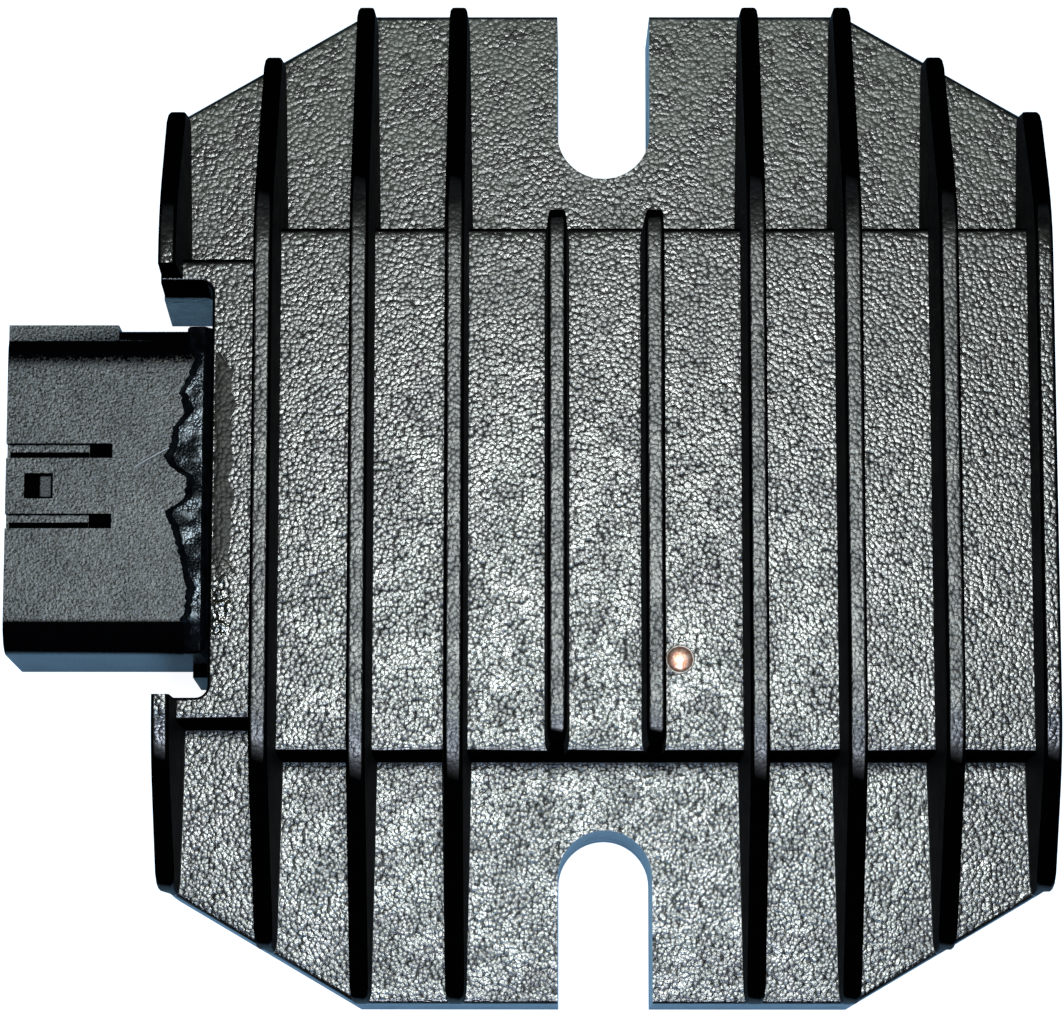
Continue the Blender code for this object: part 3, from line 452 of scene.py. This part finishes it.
shade_webs = []
for x, y, length, width in WINDOWS:
    shade_webs.append(connector_box(x, y, SHADE_WEB_DEPTH, (length, width, SHADE_WEB_THICKNESS)))
for x, y, length, width in GROOVE_SHADES:
    shade_webs.append(connector_box(x, y, SHADE_DEPTH, (length, width, SHADE_THICKNESS)))
for shade_web in shade_webs:
    shade_web.select_set(True)
bpy.ops.object.join()
shade_web = bpy.context.object
shade_web.name = "window_shade_webs"
bevel_all(0.03, 1)
# Painted shade: the sheets are near black and dull.
black = ("000000", "020202")
dress(shade_web, grained("black_sheet_painted_shade", black, 0.3, 0.02, Roughness=0.8, Specular_IOR_Level=0.01))
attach(shade_web, "root")
shade_web.select_set(False)

catch = connector_box(-54.18, 0.2, CATCH_DEPTH, CATCH_SIZE)
catch.name = "latch_ramp"
bevel_all(0.10, 2)
# Painted sheen: the ramp's colour is a grey grain, as on the shell's top.
ramp_sheen_grey = ("020202", "4e5457")
dress(catch, grained("latch_ramp_painted_sheen", ramp_sheen_grey, 0.16, 0.05, Roughness=0.35, Specular_IOR_Level=0.35))
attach(catch, "root")
bpy.ops.object.select_all(action="DESELECT")
print("webs and shades:", len(shade_webs))

# %% [markdown]
# ## Sealant film on the casting, the strand and a speck
#
# A dried film of the same sealant runs along the casting's edge and half fills the domes of the enamel. It is
# dull at its far end and glossy at its near end. A thin dusty strand lies over the apron's edge, and one
# white speck lies on the near ear.

# %% Film, strand and speck
FILM_LENGTH, FILM_MIDDLE_Y, FILM_WIDTH = 27.6, -0.6, 1.75
FILM_X, FILM_HEIGHT, FILM_TAPER_Y = -37.85, 0.035, 13.2
bpy.ops.mesh.primitive_grid_add(x_subdivisions=10, y_subdivisions=120, size=1.0, location=(0.0, 0.0, 0.0))
film = bpy.context.object
film.name = "sealant_film"
for vertex in film.data.vertices:
    across, y = vertex.co.x + 0.5, FILM_LENGTH * vertex.co.y + FILM_MIDDLE_Y
    ragged = 0.9 * noise.noise(Vector((4.0, y * 0.55, 0.0)))
    ragged += 0.25 * noise.noise(Vector((9.0, y * 2.5, 0.0)))
    taper = min(1.0, 0.25 + (FILM_TAPER_Y - y) / 2.2)
    x = FILM_X + (FILM_WIDTH + ragged) * taper * across
    up = FILM_HEIGHT * math.sin(math.pi * min(1.0, 0.06 + across))
    up += 0.012 * noise.noise(Vector((x * 1.4, y * 1.4, 2.0)))
    vertex.co = (MIDDLE_X + x * MM, y * MM, (BLOCK_TOP + max(0.004, up)) * MM)
bpy.ops.object.shade_smooth()
varnish, shader = new_material("dried_sealant_film", IOR=1.55)
place = add_node(varnish, "TexCoord").outputs["Object"]
patch = blobs(varnish, place, 1.3, detail=3.0)
near = fade(varnish, axes(varnish, place)["Y"], -6 * MM, -10 * MM)
feed(varnish, shader, "Base Color", ramp(varnish, patch, [(0.35, "0b0c08"), (0.65, "1c1e15")]))
feed(varnish, shader, "Roughness", fade(varnish, near, 0.0, 1.0, 0.34, 0.15))
feed(varnish, shader, "Specular IOR Level", fade(varnish, near, 0.0, 1.0, 0.15, 0.60))
waves = both(varnish, patch, fade(varnish, near, 0.0, 1.0, 1.5, 7.0))
hollows = both(varnish, domes(varnish, place, GRAIN), 2.0, "POWER")
relief(varnish, shader, both(varnish, waves, hollows, "SUBTRACT"), 0.034)
dress(film, varnish)
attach(film, "root")

STRAND_RADIUS, STRAND_BOW = 0.09, 0.18
STRAND = (Vector((-45.6, 2.0, 19.43)), Vector((-42.2, 3.9, 19.62)))
run = STRAND[1] - STRAND[0]
bpy.ops.mesh.primitive_cylinder_add(
    vertices=10, radius=STRAND_RADIUS * MM, depth=run.length * MM, location=(0.0, 0.0, 0.0),
    end_fill_type="NGON",
)
strand = bpy.context.object
strand.name = "sealant_strand"
bpy.ops.object.mode_set(mode="EDIT")
for cut in (0.6, -0.7):
    bpy.ops.mesh.select_all(action="SELECT")
    bpy.ops.mesh.bisect(plane_co=(0, 0, cut * MM), plane_no=(0, 0, 1))
bpy.ops.object.mode_set(mode="OBJECT")
turn = run.to_track_quat("Z", "Y").to_matrix()
middle = (STRAND[0] + STRAND[1]) / 2 * MM + Vector((MIDDLE_X, 0.0, 0.0))
for vertex in strand.data.vertices:
    bow = STRAND_BOW * MM * math.cos(math.pi * vertex.co.z / (run.length * MM))
    vertex.co = turn @ Vector((vertex.co.x, vertex.co.y + bow, vertex.co.z)) + middle
bpy.ops.object.shade_smooth_by_angle(angle=math.radians(50))
dress(strand, grained("dusty_sealant_thread", ("8b9193", "b4babb"), 0.2, 0.01, Roughness=0.5))
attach(strand, "root")

SPECK_PLACE, SPECK_RADIUS = (MIDDLE_X + 7.63 * MM, -26.41 * MM, 12.08 * MM), 0.13
bpy.ops.mesh.primitive_ico_sphere_add(subdivisions=2, radius=SPECK_RADIUS * MM, location=SPECK_PLACE)
speck = bpy.context.object
speck.name = "white_speck"
bpy.ops.object.transform_apply(location=True, rotation=False, scale=False)
bpy.ops.object.mode_set(mode="EDIT")
bpy.ops.mesh.select_all(action="SELECT")
bpy.ops.transform.resize(value=(1.2, 0.8, 0.6))
bpy.ops.object.mode_set(mode="OBJECT")
dress(speck, grained("white_dust", ("e8e8e4", "f6f6f2"), 0.1, 0.01, Roughness=0.8))
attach(speck, "root")
bpy.ops.object.select_all(action="DESELECT")
print("film, strand and speck placed")

# %% [markdown]
# ## Copper rivet
#
# The rivet's end is copper. Its dome stands a little proud of the block and is worn nearly flat, and a thin
# pale collar of scraped paint lies round it.

# %% Copper rivet
DOME_SHARE = 0.55
COLLAR_GAP, COLLAR_RADIUS, COLLAR_FLATNESS = 0.10, 0.13, 0.6
rivet = smooth_copy("ground_rivet", "rivet_head", 50)
rim = BLOCK_TOP * MM
for vertex in rivet.data.vertices:
    if vertex.co.z > rim:
        vertex.co.z = rim + (vertex.co.z - rim) * DOME_SHARE
copper = grained("turned_copper", ("e59a78", "ffd9c6"), 0.45, 0.030, Metallic=0.75, Roughness=0.37)
dress(rivet, copper)
dress(nodes["ground_rivet"], copper)
rivet_low, rivet_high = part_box("ground_rivet")
bpy.ops.mesh.primitive_torus_add(
    major_radius=(rivet_high.x - rivet_low.x) / 2 + COLLAR_GAP * MM, minor_radius=COLLAR_RADIUS * MM,
    major_segments=48, minor_segments=10,
    location=((rivet_low.x + rivet_high.x) / 2, (rivet_low.y + rivet_high.y) / 2, rim),
)
collar = bpy.context.object
collar.name = "rivet_collar"
bpy.ops.object.transform_apply(location=True, rotation=False, scale=False)
bpy.ops.object.mode_set(mode="EDIT")
bpy.ops.mesh.select_all(action="SELECT")
bpy.ops.transform.resize(value=(1.0, 1.0, COLLAR_FLATNESS))
bpy.ops.object.mode_set(mode="OBJECT")
for vertex in collar.data.vertices:
    vertex.co.z += 0.03 * MM * noise.noise(vertex.co * 900)
bpy.ops.object.shade_smooth()
scraped = ("77766f", "b9aea6")
dress(collar, grained("scraped_pale_collar", scraped, 0.3, 0.02, Metallic=0.6, Roughness=0.42))
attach(collar, "root")
collar.select_set(False)
print("collar round the rivet, width", round((rivet_high.x - rivet_low.x) / MM, 2), "mm")

# %% [markdown]
# ## Inside and underneath
#
# The parts on the board and the blades in the socket are dressed too, although the camera above sees none of
# them. From below, only the potting resin and the blades show.

# %% Hidden finishes
brass = grained("tinned_brass", ("b9b6ac", "c9c6bd"), 0.35, 0.010, Metallic=1.0, Roughness=0.32)
epoxy = grained("black_moulded_epoxy", ("151515", "1f1f20"), 0.15, 0.015, Roughness=0.55)
can = grained("brushed_aluminium_can", ("c9cacc", "dcdddf"), 0.12, 0.006, Metallic=1.0, Roughness=0.34)
ceramic = grained("black_glazed_ceramic", ("17171a", "232327"), 0.20, 0.008, Roughness=0.45)
finishes = {
    "thermal_pad": grained("grey_silicone_rubber", ("8b9094", "9ba0a4"), 0.30, 0.010, Roughness=0.75),
    "circuit_board": grained("green_solder_mask", ("123c22", "1a4d2d"), 0.25, 0.008, Roughness=0.38),
    "control_chip": epoxy,
    "smoothing_capacitor": can,
    "sense_resistor_1": ceramic,
    "sense_resistor_2": ceramic,
    "potting_compound": grained("black_potting_resin", ("0b0b0c", "141415"), 2.2, 0.050, Roughness=0.22),
}
for name in nodes:
    if name.startswith("terminal_"):
        finishes[name] = brass
    elif name.startswith(("thyristor_", "diode_")):
        finishes[name] = epoxy
for name, finish in finishes.items():
    dress(nodes[name], finish)
print("dressed", len(finishes), "hidden solids")

# %% [markdown]
# ## Floor
#
# The floor is a plain pale sheet under the part. The camera sees it as clean white with a trace of the part's
# shadow. To nearly every other ray it glows a faint blue, which tints the light that it throws back.

# %% Floor
FLOOR_SIZE, FLOOR_Z = 3.0, -0.05 * MM
WHITE_STRENGTH, BOUNCE_STRENGTH, MIRRORED_SHARE = 0.95, 0.24, 0.06
bpy.ops.mesh.primitive_plane_add(size=FLOOR_SIZE, location=(0.0, 0.0, FLOOR_Z))
floor = bpy.context.object
floor.name = "studio_floor"
sheet, shader = new_material("pale_paper_sweep", Base_Color=linear("8DBBDB"), Roughness=0.9)
path = add_node(sheet, "LightPath").outputs
seen = both(sheet, path["Is Camera Ray"], path["Is Transmission Ray"], "MAXIMUM")
seen = both(sheet, seen, both(sheet, path["Is Glossy Ray"], MIRRORED_SHARE), "MAXIMUM")
white = add_node(sheet, "Emission", {"Color": linear("FFFFFF"), "Strength": WHITE_STRENGTH})
bounce = add_node(sheet, "Emission", {"Color": linear("4A9AD0"), "Strength": BOUNCE_STRENGTH})
mix = add_node(sheet, "MixShader", {0: seen, 1: bounce.outputs[0], 2: white.outputs[0]})
total = add_node(sheet, "AddShader", {0: shader.outputs[0], 1: mix.outputs[0]})
sheet.node_tree.links.new(total.outputs[0], sheet.node_tree.nodes["Material Output"].inputs["Surface"])
dress(floor, sheet)
print("floor at z =", floor.location.z)

# %% [markdown]
# ## Lamps
#
# One compact overhead lamp stands where level faces mirror it into the camera. A second one stands on the
# near side, where the curved knees of the fins mirror it. A weak blue one between them adds the cold glints.
# The world is nearly dark for the object and pale for the camera.


# %% Lamps
def soft_lamp(name, place, aim, size, watts, colour):
    data = bpy.data.lights.new(name, "AREA")
    data.shape = "DISK"
    data.size = size
    data.energy = watts
    data.color = linear(colour)[:3]
    lamp = bpy.data.objects.new(name, data)
    bpy.context.scene.collection.objects.link(lamp)
    lamp.location = place
    lamp.rotation_euler = (Vector(place) - Vector(aim)).to_track_quat("Z", "Y").to_euler()


AIM = (0.0, 0.0, 0.02)
# name, place and diameter in metres, watts, colour
LAMPS = (
    ("overhead_lamp", (0.011, 0.060, 0.80), 0.15, 2.75, "F7FFFB"),
    ("near_side_lamp", (0.0, -0.36, 0.70), 0.16, 2.6, "E4EEFF"),
    ("blue_fill_lamp", (0.0, -0.10, 0.80), 0.10, 0.35, "8FC4FF"),
)
for name, place, size, watts, colour in LAMPS:
    soft_lamp(name, place, AIM, size, watts, colour)

SKY_STRENGTH = 0.02
world = bpy.data.worlds.new("studio")
bpy.context.scene.world = world
world.use_nodes = True
sky = add_node(world, "Background", {"Color": linear("DCE8F4"), "Strength": SKY_STRENGTH})
backdrop = add_node(world, "Background", {"Color": linear("FFFFFF"), "Strength": WHITE_STRENGTH})
seen = add_node(world, "LightPath").outputs["Is Camera Ray"]
mix = add_node(world, "MixShader", {0: seen, 1: sky.outputs[0], 2: backdrop.outputs[0]})
world.node_tree.links.new(mix.outputs[0], world.node_tree.nodes["World Output"].inputs["Surface"])
print("lamps ready:", len(LAMPS))

# %% [markdown]
# ## Camera
#
# The photograph looks almost straight down from about 0.4 m. The place, the turn and the lens were fitted to
# corners of the plate, the block and the fins.

# %% Camera
CAMERA_PLACE = (MIDDLE_X - 5.31 * MM, -68.48 * MM, 422.39 * MM)
CAMERA_TURN = (0.1638, 0.0043, 0.0010)
LENS, SENSOR = 143.2, 36.0
camera_data = bpy.data.cameras.new("camera")
camera_data.lens = LENS
camera_data.sensor_width = SENSOR
camera_data.clip_start = 0.01
camera = bpy.data.objects.new("camera", camera_data)
bpy.context.scene.collection.objects.link(camera)
camera.location = CAMERA_PLACE
camera.rotation_euler = CAMERA_TURN
bpy.context.scene.camera = camera
bpy.context.scene.view_settings.view_transform = "Standard"
print("camera at", [round(c, 4) for c in camera.location])

# %% [markdown]
# ## End of the script
#


print("scene built")
